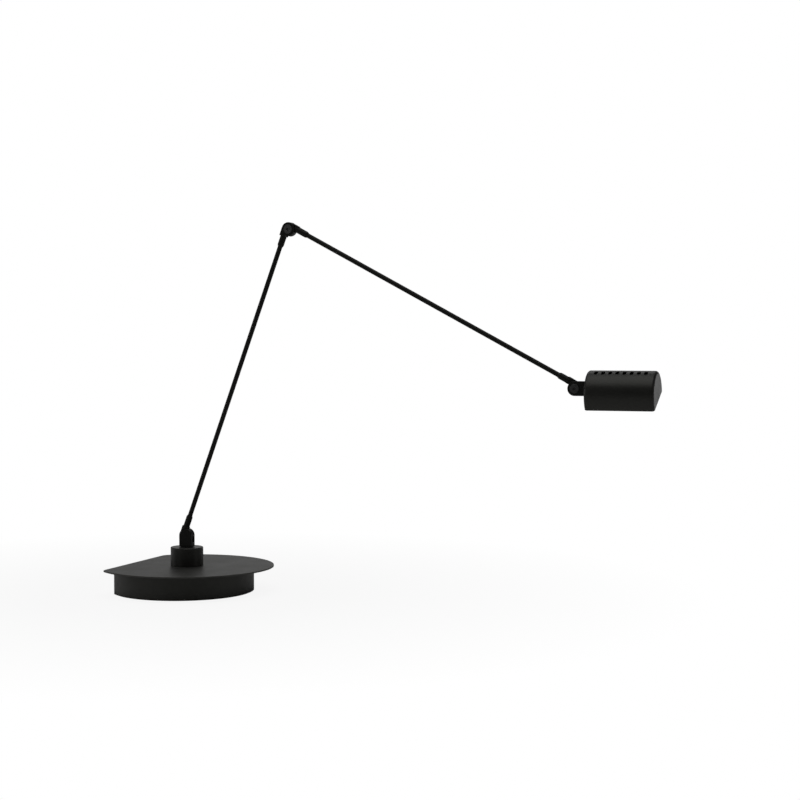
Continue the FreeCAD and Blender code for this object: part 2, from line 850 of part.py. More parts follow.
def head_shell():
    """The drawn shell: a round-ended tube with a flat opening and a row of slots."""
    shell = slice_along(rounded_drum(), cap_inside, head_end)
    hollow = drum(inner_head, cap_inside - through, head_end - head_rounding, glass_bottom)
    shell = shell.cut(hollow).cut(head_window(window_margin))
    for place in cap_screw_places():
        depth = cap_inside + cap_screw_length
        boss = cylinder(cap_screw_boss, cap_inside + cap_lip, depth + through, X, place)
        shell = shell.fuse(boss.common(drum(head_radius - running, cap_inside, head_end, opening_z)))
    for place in cap_screw_places():
        shell = shell.cut(cylinder(cap_screw_radius, cap_inside, cap_inside + cap_screw_length,
                                   X, place))
    for n in range(slot_count):
        slot = vent_slot()
        slot.translate(X * (head_start + slot_start + n * slot_pitch))
        shell = shell.cut(slot)
    return shell.removeSplitter()


def head_cap():
    """The inner end cap, with a lip inside the shell and a boss round the neck."""
    cap = slice_along(rounded_drum(), head_start, cap_inside)
    lip = drum(inner_head - running, cap_inside, cap_inside + cap_lip - running,
               glass_bottom + running)
    core = drum(lip_core, cap_inside, cap_inside + cap_lip,
                glass_bottom + running + head_wall)
    cap = cap.fuse(lip.cut(core))
    cap = cap.fuse(cylinder(cap_boss_radius, cap_inside - through, cap_inside + cap_boss, X))
    for place in cap_screw_places():
        seat = cylinder(cap_screw_boss, cap_inside - through, cap_inside + cap_lip - running,
                        X, place)
        limit = drum(inner_head - running, head_start, head_end, opening_z)
        cap = cap.fuse(seat.common(limit))
    for place in cap_screw_places():
        cap = cap.cut(cylinder(cap_screw_radius, head_start - through, head_end, X, place))
        cap = cap.cut(countersink(cap_screw_radius, cap_screw_head, head_start, X, place))
    for place in bracket_screw_places():
        cap = cap.cut(cylinder(bracket_screw_radius, cap_inside - through, head_end, X, place))
    bore = cylinder(neck_spigot + running, head_start - through, head_end, X)
    return cap.cut(bore).removeSplitter()


def cap_screws():
    """The countersunk screws that hold the cap on the shell."""
    screws = []
    for place in cap_screw_places():
        screw = cylinder(cap_screw_radius, head_start, cap_inside + cap_screw_length, X, place)
        screw = screw.fuse(countersink(cap_screw_radius, cap_screw_head, head_start, X, place))
        screws.append(screw)
    return Part.makeCompound(screws)


def glass_pane():
    """The flat glass that lies on the rim of the window, inside the shell."""
    half = math.sqrt(inner_head ** 2 - opening_drop ** 2) - glass_overlap / 2
    low = FreeCAD.Vector(cap_inside + cap_lip, -half, glass_bottom)
    high = FreeCAD.Vector(head_end - head_rounding - running, half, glass_top)
    pane = block(low, high)
    limit = drum(inner_head - running, cap_inside, head_end, glass_bottom)
    return pane.common(limit)


def lamp_height():
    """The bulb's axis, in the focus of the reflector."""
    return tube_centre + lamp_rise


def reflector():
    """The polished trough over the bulb, with a flange along each side."""
    start = head_start + reflector_start
    end = head_end - head_rounding - free_gap
    half = math.sqrt(inner_head ** 2 - opening_drop ** 2) - glass_overlap - reflector_flange
    foot = glass_top
    crown = tube_centre + reflector_height
    outer = trough(half, foot, crown, start, end)
    inner = trough(half - reflector_thick, foot - through, crown - reflector_thick,
                   start - through, end - reflector_thick)
    flange = block(FreeCAD.Vector(start, -half - reflector_flange, foot),
                   FreeCAD.Vector(end, half + reflector_flange, foot + reflector_thick))
    shell = outer.fuse(flange).cut(inner)
    limit = drum(inner_head - running, cap_inside, head_end, opening_z)
    return shell.common(limit).removeSplitter()


def trough(half, foot, crown, start, end):
    """A solid under one arc across Y, between two planes square to X."""
    left = FreeCAD.Vector(start, -half, foot)
    top = FreeCAD.Vector(start, 0, crown)
    right = FreeCAD.Vector(start, half, foot)
    arc = Part.Arc(left, top, right).toShape()
    base = Part.LineSegment(right, left).toShape()
    return Part.Face(Part.Wire([arc, base])).extrude(X * (end - start))


def holder_start():
    """The bracket's cross plate carries the lamp holder on its far side."""
    return neck_tip() + free_gap * 2 + bracket_thick


def lamp_holder():
    """The ceramic block that the bulb's pins plug into."""
    start = holder_start()
    low = FreeCAD.Vector(start, -holder_width / 2, lamp_height() - holder_height / 2)
    high = FreeCAD.Vector(start + holder_depth, holder_width / 2,
                          lamp_height() + holder_height / 2)
    body = block(low, high)
    along = [e for e in body.Edges if same(e.Length, holder_depth)]
    body = body.makeFillet(edge_break * 4, along)
    for side in (-1, 1):
        at = FreeCAD.Vector(0, side * pin_spacing / 2, lamp_height())
        body = body.cut(cylinder(pin_radius, start + holder_depth - pin_length,
                                 start + holder_depth + through, X, at))
    return body


def bulb():
    """The small capsule bulb: a domed tube on a pinched foot with two pins."""
    start = holder_start() + holder_depth
    at = Z * lamp_height()
    foot = block(FreeCAD.Vector(start, -bulb_radius, lamp_height() - bulb_neck / 2),
                 FreeCAD.Vector(start + bulb_neck_length + through, bulb_radius,
                                lamp_height() + bulb_neck / 2))
    tube = cylinder(bulb_radius, start + bulb_neck_length, start + bulb_length, X, at)
    dome = Part.makeSphere(bulb_radius, at + X * (start + bulb_length))
    glass = foot.fuse(tube).fuse(dome)
    for side in (-1, 1):
        pin_at = FreeCAD.Vector(0, side * pin_spacing / 2, lamp_height())
        glass = glass.fuse(cylinder(pin_radius, start - pin_length, start, X, pin_at))
    return glass.removeSplitter()


def bracket_screw_places():
    """The screws through the feet of the holder's bracket."""
    y = bracket_half + bracket_foot / 2
    return [FreeCAD.Vector(0, side * y, lamp_height()) for side in (-1, 1)]


def holder_bracket():
    """A bent strip from the cap, round the neck's nut, to the lamp holder."""
    low = lamp_height() - bracket_height / 2
    high = lamp_height() + bracket_height / 2
    cross = holder_start()
    foot = cap_inside
    strip = block(FreeCAD.Vector(cross - bracket_thick, -bracket_half, low),
                  FreeCAD.Vector(cross, bracket_half, high))
    for side in (-1, 1):
        inner = side * (bracket_half - bracket_thick)
        outer = side * bracket_half
        strip = strip.fuse(block(FreeCAD.Vector(foot, min(inner, outer), low),
                                 FreeCAD.Vector(cross, max(inner, outer), high)))
        far = side * (bracket_half + bracket_foot)
        strip = strip.fuse(block(FreeCAD.Vector(foot, min(outer, far), low),
                                 FreeCAD.Vector(foot + bracket_thick, max(outer, far), high)))
    strip = strip.removeSplitter()
    for place in bracket_screw_places():
        strip = strip.cut(cylinder(bracket_screw_radius, 0, head_end, X, place))
    return strip


def bracket_screws():
    """The two small screws that hold the bracket to the cap."""
    screws = []
    face = cap_inside + bracket_thick
    for place in bracket_screw_places():
        shank = cylinder(bracket_screw_radius, cap_inside - through, face, X, place)
        head = cylinder(2 * bracket_screw_radius, face, face + bracket_thick, X, place)
        screws.append(shank.fuse(head))
    return Part.makeCompound(screws)


# ---- the nodes ----
os.makedirs("parts", exist_ok=True)

save(in_base(top_plate()), "top_plate")
save(in_base(base_housing()), "base_housing")
save(in_base(bottom_cover()), "bottom_cover")
save(in_base(foot_pad()), "foot_pad")
save(in_base(ballast()), "ballast")
save(in_base(power_supply()), "power_supply")
save(in_base(cord_inlet()), "cord_inlet")
save(in_base(inlet_nut()), "inlet_nut")
save(in_base(power_switch()), "power_switch")
save(in_base(switch_nut()), "switch_nut")
save(in_base(switch_button()), "switch_button")
save(in_base(Part.makeCompound([sunk_screw(p, cover_screw_radius, cover_screw_head,
                                           cover_screw_length)
                                for p in post_places()])), "cover_screws")
save(in_base(Part.makeCompound([sunk_screw(p, ballast_screw_radius, ballast_screw_head,
                                           ballast_screw_length)
                                for p in ballast_screw_places()])), "ballast_screws")
save(in_base(Part.makeCompound([sunk_screw(p, supply_screw_radius, cover_screw_head,
                                           cover_thick + supply_ear_thick)
                                for p in supply_screw_places()])), "supply_screws")
save(in_base(hub_collar()), "hub_collar")
save(in_base(hub_bush()), "hub_bush")
save(in_base(hub_screws()), "hub_screws")
save(in_base(slip_washer()), "slip_washer")

save(base_fork_with_blind_hole(), "base_fork")
save(tension_washer(), "tension_washer")
save(swivel_nut(), "swivel_nut")
save(turned(friction_washers(), base_pivot, 0), "base_friction_washers")
save(turned(base_pivot_screw(), base_pivot, 0), "base_pivot_screw")

save(turned(arm_tongue(cope_close), base_pivot, lower_turn), "lower_arm_foot")
save(turned(arm_tube(tongue_reach - tube_socket, arm_length - fork_reach + tube_socket),
            base_pivot, lower_turn), "lower_arm_tube")


def elbow_fork():
    """The lower arm's forked end, facing back along the arm."""
    fork = arm_fork()
    fork = fork.mirror(ORIGIN, X)
    return turned(fork, elbow_pivot, lower_turn)


save(elbow_fork(), "elbow_fork")
save(turned(friction_washers(), elbow_pivot, 0), "elbow_friction_washers")
save(turned(pivot_screw(nut_tip()), elbow_pivot, lower_turn), "elbow_pivot_screw")
save(turned(pivot_nut(), elbow_pivot, lower_turn), "elbow_pivot_nut")

save(turned(arm_tongue(cope_close), elbow_pivot, upper_droop), "upper_arm_root")
save(turned(arm_tube(tongue_reach - tube_socket, arm_length - tongue_reach + tube_socket),
            elbow_pivot, upper_droop), "upper_arm_tube")


def upper_arm_end():
    """The upper arm's tongue at the head, facing back along the arm."""
    tongue = arm_tongue(cope_wide)
    tongue = tongue.mirror(ORIGIN, X)
    return turned(tongue, head_pivot, upper_droop)


save(upper_arm_end(), "upper_arm_end")

save(turned(head_neck(), head_pivot, 0), "head_neck")
save(turned(friction_washers(), head_pivot, 0), "head_friction_washers")
save(turned(pivot_screw(nut_tip()), head_pivot, 0), "head_pivot_screw")
save(turned(pivot_nut(), head_pivot, 0), "head_pivot_nut")
save(turned(neck_washer(), head_pivot, 0), "neck_washer")
save(turned(neck_nut(), head_pivot, 0), "neck_nut")

save(in_head(head_shell()), "head_shell")
save(in_head(head_cap()), "head_cap")
save(in_head(cap_screws()), "cap_screws")
save(in_head(glass_pane()), "glass_pane")
save(in_head(reflector()), "reflector")
save(in_head(lamp_holder()), "lamp_holder")
save(in_head(bulb()), "bulb")
save(in_head(holder_bracket()), "holder_bracket")
save(in_head(bracket_screws()), "bracket_screws")
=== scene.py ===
import math

import bmesh
import bpy
from mathutils import Matrix, Vector


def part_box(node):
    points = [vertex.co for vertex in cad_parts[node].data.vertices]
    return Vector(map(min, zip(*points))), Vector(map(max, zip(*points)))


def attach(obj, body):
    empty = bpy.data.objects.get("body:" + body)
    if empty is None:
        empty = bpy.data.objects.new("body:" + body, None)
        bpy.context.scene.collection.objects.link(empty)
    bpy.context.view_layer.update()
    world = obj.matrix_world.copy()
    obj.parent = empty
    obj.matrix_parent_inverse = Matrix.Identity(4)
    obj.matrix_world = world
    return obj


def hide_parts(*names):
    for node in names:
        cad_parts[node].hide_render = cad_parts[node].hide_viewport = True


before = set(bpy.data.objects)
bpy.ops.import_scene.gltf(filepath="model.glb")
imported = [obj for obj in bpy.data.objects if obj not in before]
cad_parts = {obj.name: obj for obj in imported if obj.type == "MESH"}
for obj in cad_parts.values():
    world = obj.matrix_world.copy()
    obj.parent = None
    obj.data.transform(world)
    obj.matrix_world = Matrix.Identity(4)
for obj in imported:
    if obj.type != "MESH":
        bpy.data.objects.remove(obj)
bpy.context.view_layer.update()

# Black two-arm desk lamp on a white ground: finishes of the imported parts, the
# bulb's inner pieces, studio light and the camera. Metres, +Z up, origin on the
# table under the swivel axis.

# ---- the photograph's view ----
PICTURE = 800.0                  # pixels, both ways
CAMERA_AZIMUTH = 18.82           # degrees to the right of the arms' front
CAMERA_ELEVATION = 2.2
SCALE_AT_ORIGIN = 0.0011547      # metres to a pixel at the origin's distance
ORIGIN_DISTANCE = 1.99552
ORIGIN_PIXEL = (187.19, 590.69)  # where the origin shows, from the top left
HEAD_ROLL = 24.8                 # degrees that the head is rolled, its vents to the front
SENSOR = 36.0
LENS = 77.77

# ---- studio ----
FLOOR_SIZE = 60.0
FLOOR_BELOW = 0.0002             # just clear of the foot pad
FLOOR_COLOUR = (0.90, 0.90, 0.90)
FLOOR_WHITE_NEAR = 0.90          # share of pure white that the lens sees in the floor
FLOOR_NEAR = 0.16                # metres from the lamp; from here to FLOOR_FAR it turns white
FLOOR_FAR = 0.60
FLOOR_ROUGHNESS = 0.9
FLOOR_DIM_BEFORE = 0.50          # metres behind the lamp: nearer, a gloss sees the lit floor,
FLOOR_LIT_BEHIND = 4.0           # and beyond this it sees the floor white
STUDIO_FILL = 0.08               # grey of the room on the camera's side
BACKDROP_SIDE = (0.8, 1.12)      # where the white backdrop begins and is whole, seen by a gloss;
                                 # 1 is straight behind the lamp
# name, where it stands, where it aims, width, height, and level, where 1 is white
LAMPS = (
    ("top_box", (0.2, -0.4, 2.1), (0.2, 0.0, 0.2), 2.4, 2.0, 1.0),
    ("left_box", (-1.9, -0.1, 0.7), (0.1, 0.0, 0.2), 1.0, 1.2, 1.0),
    ("front_left_box", (-1.1, -1.9, 0.7), (0.2, 0.0, 0.3), 0.8, 1.0, 0.8),
    ("right_box", (2.4, 0.2, 0.6), (0.3, 0.0, 0.2), 0.9, 1.2, 0.5),
    ("back_box", (0.1, 1.7, 1.9), (0.2, 0.0, 0.2), 1.6, 0.9, 0.8),
)

# ---- finishes, shared numbers ----
BEVEL_SAMPLES = 6
NOISE_SPAN = (0.3, 0.7)          # most of a noise lies between these
# the coat's lighter colour along its edges: rubbed wear and a painted highlight
EDGE_WEAR_AND_HIGHLIGHT_COAT = (0.075, 0.074, 0.071)
COAT_WARMTH = 0.90               # share of blue in the coat's lighter patches
COAT_SHEEN = (1.0, 1.0, 0.93, 1.0)


# ---- node helpers ----
class Finish:
    """A node material, with the few helpers that the finishes below share."""

    def __init__(self, name):
        self.material = bpy.data.materials.new(name)
        self.material.use_nodes = True
        self.tree = self.material.node_tree
        self.tree.nodes.clear()
        self.output = self.add("ShaderNodeOutputMaterial")
        self.shader = self.add("ShaderNodeBsdfPrincipled")
        self.join(self.shader.outputs["BSDF"], self.output.inputs["Surface"])
        self.place = self.add("ShaderNodeTexCoord").outputs["Object"]

    def add(self, kind, **settings):
        node = self.tree.nodes.new(kind)
        for key, value in settings.items():
            setattr(node, key, value)
        return node

    def join(self, output, socket):
        self.tree.links.new(output, socket)

    def feed(self, socket, value):
        """A link where the value is an output, a set number where it is not."""
        if isinstance(value, bpy.types.NodeSocket):
            self.join(value, socket)
        else:
            socket.default_value = value

    def set(self, **numbers):
        """Uniform numbers, straight on the shader's sockets."""
        for key, value in numbers.items():
            self.shader.inputs[key.replace("_", " ")].default_value = value

    def stretched(self, scale):
        """The object's coordinates, scaled differently along each axis."""
        mapping = self.add("ShaderNodeMapping")
        mapping.inputs["Scale"].default_value = scale
        self.join(self.place, mapping.inputs["Vector"])
        return mapping.outputs["Vector"]

    def noise(self, size, detail=2.0, rough=0.5, place=None):
        """Noise whose features are about the given size, in metres."""
        node = self.add("ShaderNodeTexNoise")
        node.inputs["Scale"].default_value = 1.0 / size
        node.inputs["Detail"].default_value = detail
        node.inputs["Roughness"].default_value = rough
        self.join(place or self.place, node.inputs["Vector"])
        return node.outputs["Fac"]

    def cells(self, size, feature="F1"):
        """Distance from the middle of cells of about the given size, in metres."""
        node = self.add("ShaderNodeTexVoronoi", feature=feature)
        node.inputs["Scale"].default_value = 1.0 / size
        self.join(self.place, node.inputs["Vector"])
        return node.outputs["Distance"]

    def spread(self, value, low, high, to_low, to_high):
        """The span from low to high, moved to the span from to_low to to_high."""
        node = self.add("ShaderNodeMapRange")
        self.feed(node.inputs["Value"], value)
        for key, number in (("From Min", low), ("From Max", high),
                            ("To Min", to_low), ("To Max", to_high)):
            node.inputs[key].default_value = number
        return node.outputs["Result"]

    def maths(self, operation, first, second):
        node = self.add("ShaderNodeMath", operation=operation)
        self.feed(node.inputs[0], first)
        self.feed(node.inputs[1], second)
        return node.outputs["Value"]

    def blend(self, share, first, second):
        """Two colours mixed by a share from 0 to 1."""
        node = self.add("ShaderNodeMix", data_type="RGBA")
        self.feed(node.inputs["Factor"], share)
        # the node's colour sockets are its inputs 6 and 7 and its output 2
        for socket, colour in ((node.inputs[6], first), (node.inputs[7], second)):
            if not isinstance(colour, bpy.types.NodeSocket):
                colour = (*colour, 1)
            self.feed(socket, colour)
        return node.outputs[2]

    def bump(self, height, depth, after=None):
        """A bump of the given depth in metres, on top of an earlier one."""
        node = self.add("ShaderNodeBump")
        node.inputs["Distance"].default_value = depth
        self.join(height, node.inputs["Height"])
        if after is not None:
            self.join(after, node.inputs["Normal"])
        return node.outputs["Normal"]

    def rounded(self, radius):
        """A normal that runs smoothly over each sharp edge."""
        node = self.add("ShaderNodeBevel", samples=BEVEL_SAMPLES)
        node.inputs["Radius"].default_value = radius
        return node.outputs["Normal"]

    def edges(self, radius, low=0.02, high=0.25):
        """1 along outer and inner edges, 0 on open faces."""
        soft = self.rounded(radius)
        face = self.add("ShaderNodeNewGeometry").outputs["Normal"]
        dot = self.add("ShaderNodeVectorMath", operation="DOT_PRODUCT")
        self.join(soft, dot.inputs[0])
        self.join(face, dot.inputs[1])
        turned = self.maths("SUBTRACT", 1.0, dot.outputs["Value"])
        return self.spread(turned, low, high, 0.0, 1.0)

    def colour(self, value):
        self.feed(self.shader.inputs["Base Color"], value)

    def roughness(self, value):
        self.feed(self.shader.inputs["Roughness"], value)

    def normal(self, value):
        self.feed(self.shader.inputs["Normal"], value)


# ---- finishes ----
def powder_coat(name="black_powder_coat", dark=0.0032, light=0.0052, gloss=0.45, matt=0.37):
    """Fine-textured black powder coat: orange peel, lighter along its edges, partly rubbed wear and
    partly a painted highlight.
    """
    f = Finish(name)
    peel = f.noise(0.0011, 2.0, 0.45)
    grain = f.noise(0.00032, 1.0)
    clouds = f.noise(0.030, 3.0)
    # lighter edges: rubbed wear, and partly a painted highlight that lightens rims such as the vent
    # slots'
    lighter_edges = f.maths("MULTIPLY", f.edges(0.0005),
                  f.spread(f.noise(0.004, 4.0), 0.42, 0.66, 0.0, 1.0))
    tone = f.blend(f.spread(clouds, *NOISE_SPAN, 0.0, 1.0), (dark,) * 3,
                   (light, light, light * COAT_WARMTH))
    f.colour(f.blend(f.maths("MULTIPLY", lighter_edges, 0.55), tone, EDGE_WEAR_AND_HIGHLIGHT_COAT))
    satin = f.spread(clouds, *NOISE_SPAN, matt, matt + 0.05)
    f.roughness(f.maths("ADD", satin, f.spread(grain, *NOISE_SPAN, -0.03, 0.03)))
    f.set(Specular_IOR_Level=gloss, Specular_Tint=COAT_SHEEN)
    f.normal(f.bump(grain, 0.000012, f.bump(peel, 0.00005, f.rounded(0.00035))))
    return f.material


def arm_coat():
    """The arms' thinner and duller coat, deep black beside the drum's."""
    return powder_coat("black_arm_coat", dark=0.0020, light=0.0035, gloss=0.22, matt=0.44)


def drum_coat():
    """The base drum's coat, a little greyer and duller."""
    return powder_coat("black_drum_coat", dark=0.0042, light=0.0060, gloss=0.60, matt=0.50)


def plate_coat_painted_sheen():
    """The top plate's coat, lighter than the others: a painted reflection of the light that grazes
    the plate.
    """
    return powder_coat("black_plate_coat_painted_sheen", dark=0.0085, light=0.0110, gloss=0.75, matt=0.46)


def black_fastener():
    """Blackened steel screws, a little shinier than the coat, bright on their corners."""
    f = Finish("black_steel_fastener")
    lighter_edges = f.maths("MULTIPLY", f.edges(0.0003),
                  f.spread(f.noise(0.0015, 3.0), 0.4, 0.6, 0.2, 1.0))
    stain = f.noise(0.003, 4.0)
    tone = f.blend(stain, (0.040, 0.040, 0.041), (0.062, 0.061, 0.059))
    f.colour(f.blend(lighter_edges, tone, (0.20, 0.20, 0.195)))
    f.roughness(f.spread(stain, *NOISE_SPAN, 0.30, 0.42))
    f.set(Metallic=0.55)
    turning = f.noise(0.0006, 2.0, place=f.stretched((1.0, 6.0, 1.0)))
    f.normal(f.bump(turning, 0.00001, f.rounded(0.00025)))
    return f.material


def zinc_plate():
    """Clear zinc on steel, with faint spangles and handling marks."""
    f = Finish("zinc_plated_steel")
    spangle = f.cells(0.006)
    marks = f.noise(0.0016, 5.0, 0.6, f.stretched((1.0, 9.0, 1.0)))
    f.colour(f.blend(f.spread(spangle, 0.0, 0.8, 0.0, 1.0),
                     (0.46, 0.47, 0.48), (0.60, 0.61, 0.61)))
    f.roughness(f.maths("ADD", f.spread(spangle, 0.0, 0.8, 0.28, 0.38),
                        f.spread(marks, 0.35, 0.65, -0.05, 0.06)))
    f.set(Metallic=0.9)
    f.normal(f.bump(marks, 0.000012, f.rounded(0.0002)))
    return f.material


def cast_iron():
    """Rough cast iron under a thin coat of primer."""
    f = Finish("cast_iron")
    pits = f.cells(0.0022)
    rough = f.noise(0.0045, 6.0, 0.65)
    f.colour(f.blend(rough, (0.030, 0.030, 0.031), (0.075, 0.073, 0.070)))
    f.roughness(f.spread(rough, *NOISE_SPAN, 0.60, 0.78))
    f.set(Metallic=0.35)
    f.normal(f.bump(pits, 0.00012, f.bump(rough, 0.00035)))
    return f.material


def foam_pad():
    """Fine closed-cell foam, slightly dusty where it has been moved about."""
    f = Finish("foam_rubber")
    pores = f.cells(0.0007)
    dust = f.spread(f.noise(0.018, 5.0, 0.6), 0.45, 0.75, 0.0, 0.6)
    f.colour(f.blend(dust, (0.012, 0.012, 0.013), (0.045, 0.043, 0.040)))
    f.roughness(f.spread(pores, 0.0, 0.7, 0.95, 0.82))
    f.normal(f.bump(pores, 0.00012))
    return f.material


def black_plastic():
    """Spark-eroded black nylon: fine grain, slightly glossy where it is handled."""
    f = Finish("black_plastic")
    grain = f.cells(0.00035)
    wide = f.noise(0.006, 3.0)
    f.colour(f.blend(wide, (0.012, 0.012, 0.013), (0.020, 0.020, 0.021)))
    f.roughness(f.spread(wide, *NOISE_SPAN, 0.36, 0.50))
    f.normal(f.bump(grain, 0.00002, f.rounded(0.0004)))
    return f.material


def nylon():
    """Black nylon washers, waxy and slightly cloudy."""
    f = Finish("nylon")
    f.colour(f.blend(f.noise(0.002, 3.0), (0.008, 0.008, 0.009), (0.016, 0.016, 0.017)))
    f.roughness(f.spread(f.noise(0.0008), *NOISE_SPAN, 0.38, 0.50))
    f.set(Specular_IOR_Level=0.35)
    f.normal(f.bump(f.noise(0.0005), 0.00001))
    return f.material


def bright_aluminium():
    """Bright-dipped reflector sheet with a fine hammered dimple."""
    f = Finish("bright_aluminium")
    dimples = f.cells(0.0024, "SMOOTH_F1")
    smear = f.noise(0.008, 4.0, 0.6)
    f.colour(f.blend(smear, (0.83, 0.84, 0.85), (0.90, 0.905, 0.91)))
    f.roughness(f.spread(smear, *NOISE_SPAN, 0.10, 0.22))
    f.set(Metallic=1.0)
    f.normal(f.bump(dimples, 0.00018, f.rounded(0.0003)))
    return f.material


def ceramic():
    """Steatite: matt off-white with fine grey specks."""
    f = Finish("ceramic")
    specks = f.spread(f.cells(0.0009), 0.0, 0.12, 0.5, 0.0)
    body = f.blend(f.noise(0.004, 4.0), (0.70, 0.68, 0.63), (0.80, 0.79, 0.75))
    f.colour(f.blend(specks, body, (0.36, 0.34, 0.31)))
    f.roughness(f.spread(f.noise(0.0012, 3.0), *NOISE_SPAN, 0.48, 0.66))
    f.normal(f.bump(f.noise(0.0005, 2.0), 0.00002, f.rounded(0.0005)))
    return f.material


def clear_glass(name="clear_glass", tint=(0.93, 0.965, 0.95, 1.0), haze=0.05):
    """Drawn glass with a breath of haze."""
    f = Finish(name)
    f.set(Base_Color=tint, IOR=1.5, Transmission_Weight=1.0)
    f.roughness(f.spread(f.noise(0.012, 5.0, 0.6), 0.4, 0.8, 0.0, haze))
    f.normal(f.bump(f.noise(0.02, 1.0), 0.00003))
    return f.material


def tungsten():
    """Drawn tungsten wire, dark grey with die marks."""
    f = Finish("tungsten_wire")
    marks = f.noise(0.0004, 3.0, 0.6, f.stretched((0.2, 4.0, 4.0)))
    f.colour(f.blend(marks, (0.22, 0.21, 0.20), (0.42, 0.41, 0.39)))
    f.roughness(f.spread(marks, *NOISE_SPAN, 0.28, 0.45))
    f.set(Metallic=1.0)
    f.normal(f.bump(marks, 0.000004))
    return f.material


FINISHES = {
    "black_powder_coat": powder_coat,
    "zinc_plated_steel": zinc_plate,
    "black_steel_fastener": black_fastener,
    "cast_iron": cast_iron,
    "foam_rubber": foam_pad,
    "black_plastic": black_plastic,
    "nylon": nylon,
    "bright_aluminium": bright_aluminium,
    "ceramic": ceramic,
    "clear_glass": clear_glass,
}

ARM_PARTS = ("base_fork", "lower_arm_foot", "lower_arm_tube", "elbow_fork", "upper_arm_root",
             "upper_arm_tube", "upper_arm_end", "head_neck")


def finish_parts():
    """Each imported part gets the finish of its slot, and the arms and base their own coats."""
    made = {slot: build() for slot, build in FINISHES.items()}
    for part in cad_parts.values():
        slot = part.material_slots[0]
        slot.material = made[slot.material.name.split(".")[0]]
    # the top plate's lighter coat is a painted reflection
    coats = ((ARM_PARTS, arm_coat()), (("base_housing",), drum_coat()),
             (("top_plate",), plate_coat_painted_sheen()))
    for names, coat in coats:
        for name in names:
            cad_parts[name].material_slots[0].material = coat


# ---- the capsule bulb, in place of its plain solid ----
BULB_RADIUS = 0.0055
BULB_WALL = 0.0008
PIN_LENGTH = 0.0060              # the pins stand in the holder
PIN_RADIUS = 0.0006
PIN_SPACING = 0.00635
PIN_TIP = 0.0002
PIN_ROOT = 0.0009                # how deep they are sealed in the foot
PINCH_LENGTH = 0.0040            # flat sealed foot of the capsule
PINCH_HALF = 0.0016
PINCH_BEVEL = 0.0003
PINCH_SQUARENESS = 0.7           # 0 would leave an ellipse, 1 a sharp bar
SHOULDER_LENGTH = 0.0030         # from the flat foot to the round tube
COIL_RADIUS = 0.0007
COIL_LENGTH = 0.0090
COIL_TURNS = 22
COIL_STEPS = 12                  # points to a turn
COIL_SEAT = 0.55                 # share of the free length that lies before the coil
WIRE_RADIUS = 0.00012
WIRE_RESOLUTION = 3
LEAD_RADIUS = 0.00025
LEAD_SPREAD = 0.0022
LEAD_START = 0.8                 # share of the foot's length at which the leads come out
NEAR_BEND = ((0.75, 1.0), (0.9, 0.7))                  # share of the way to the coil, of the spread
FAR_BEND = ((0.0008, 1.0), (0.0002, 0.9), (0.0, 0.6))  # metres before the coil's end, the same
FOIL_HALF = 0.0007
FOIL_THICK = 0.00003             # from the middle to a face
FOIL_OUTLINE = ((0.15, 0.4), (0.3, 1.0), (0.7, 1.0), (0.85, 0.4))  # share of the foot, of FOIL_HALF
CAPSULE_TINT = (0.97, 0.985, 0.98, 1)
CAPSULE_HAZE = 0.02
RING_POINTS = 48
DOME_RINGS = 12
SHOULDER_RINGS = 8


def section(x, wide, high, square):
    """A closed ring round the bulb's axis, from an ellipse (square 0) to a rounded bar (1)."""
    power = 1.0 - PINCH_SQUARENESS * square
    ring = []
    for step in range(RING_POINTS):
        turn = 2 * math.pi * step / RING_POINTS
        across, up = math.cos(turn), math.sin(turn)
        ring.append(Vector((x, math.copysign(abs(across) ** power, across) * wide,
                            math.copysign(abs(up) ** power, up) * high)))
    return ring


def capsule_rings(length, radius, flat):
    """Rings from the foot, if there is a flat one, to the dome, and where the dome ends."""
    rings = []
    if flat:
        for x, inset in ((0.0, PINCH_BEVEL), (PINCH_BEVEL, 0.0), (PINCH_LENGTH, 0.0)):
            rings.append(section(x, radius - inset, PINCH_HALF - inset, 1.0))
    begin = PINCH_HALF if flat else PINCH_HALF / 2
    for step in range(1, SHOULDER_RINGS + 1):
        share = step / SHOULDER_RINGS
        ease = share * share * (3 - 2 * share)
        rings.append(section(PINCH_LENGTH + SHOULDER_LENGTH * share,
                             radius, begin + (radius - begin) * ease, 1 - ease))
    centre = length - BULB_RADIUS
    for step in range(DOME_RINGS):
        turn = math.pi / 2 * step / DOME_RINGS
        size = radius * math.cos(turn)
        rings.append(section(centre + radius * math.sin(turn), size, size, 0.0))
    return rings, centre + radius


def skin(mesh, rings, tip, aside=0.0):
    """Faces from ring to ring, closed at the foot and at the tip."""
    rows = [[mesh.verts.new(point) for point in ring] for ring in rings]
    for row, after in zip(rows, rows[1:]):
        for step in range(RING_POINTS):
            far = (step + 1) % RING_POINTS
            mesh.faces.new((row[step], row[far], after[far], after[step]))
    mesh.faces.new(list(reversed(rows[0])))
    end = mesh.verts.new((tip, aside, 0))
    for step in range(RING_POINTS):
        mesh.faces.new((rows[-1][step], rows[-1][(step + 1) % RING_POINTS], end))


def smooth_mesh(mesh, name):
    data = bpy.data.meshes.new(name)
    mesh.to_mesh(data)
    mesh.free()
    data.shade_smooth()
    return data


def placed(data, name, material, place):
    """A piece on the lamp's head, with its finish and slot."""
    data.materials.append(material)
    piece = bpy.data.objects.new(name, data)
    bpy.context.scene.collection.objects.link(piece)
    piece.matrix_world = place
    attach(piece, "head")
    return piece


def wire(points, radius):
    """A round wire through the given points, closed at both ends."""
    curve = bpy.data.curves.new("wire", "CURVE")
    curve.dimensions = "3D"
    curve.bevel_depth = radius
    curve.bevel_resolution = WIRE_RESOLUTION
    curve.use_fill_caps = True
    line = curve.splines.new("POLY")
    line.points.add(len(points) - 1)
    for target, point in zip(line.points, points):
        target.co = (*point, 1)
    return curve


